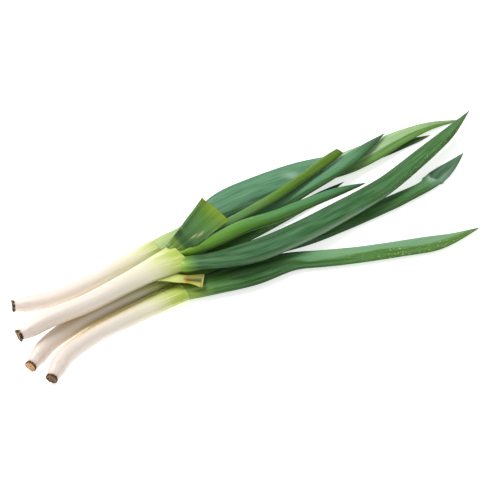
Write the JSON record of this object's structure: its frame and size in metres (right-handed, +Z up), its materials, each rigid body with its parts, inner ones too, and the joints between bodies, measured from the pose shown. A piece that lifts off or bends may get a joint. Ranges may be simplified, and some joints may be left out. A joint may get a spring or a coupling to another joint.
{
  "type": "spring onion bunch",
  "caption": "Bunch of spring onions lying on its side, with white shanks, trimmed root ends, flared sheaths and long tapering green leaves that cross each other.",
  "frame": {"origin": "middle of the bunch's bounding box, on the surface it lies on", "axes": "+X along the bunch towards the leaf tips, +Y across it, +Z up from the surface"},
  "size_m": [0.4506, 0.1416, 0.0397],
  "materials": {
    "shank": "moist satin",
    "root": "matt",
    "leaf_blue": "waxy satin",
    "leaf_dark": "waxy satin",
    "leaf_bright": "waxy satin",
    "leaf_cut": "waxy satin",
    "leaf_dry": "matt, dry"
  },
  "bodies": {
    "root": {"shank_a": "shank", "shank_b": "shank", "shank_c": "shank", "shank_d": "shank", "root_disc_a": "root", "root_disc_b": "root", "root_disc_c": "root", "root_disc_d": "root", "leaf_a_broad": "leaf_blue", "leaf_a_lower": "leaf_dark", "leaf_b_main": "leaf_dark", "leaf_b_middle": "leaf_bright", "leaf_b_slim": "leaf_bright", "leaf_b_cut": "leaf_cut", "leaf_b_dry": "leaf_dry", "leaf_c_upper": "leaf_blue", "leaf_c_kinked": "leaf_dark", "leaf_c_short": "leaf_bright", "leaf_d": "leaf_dark"}
  },
  "joints": []
}
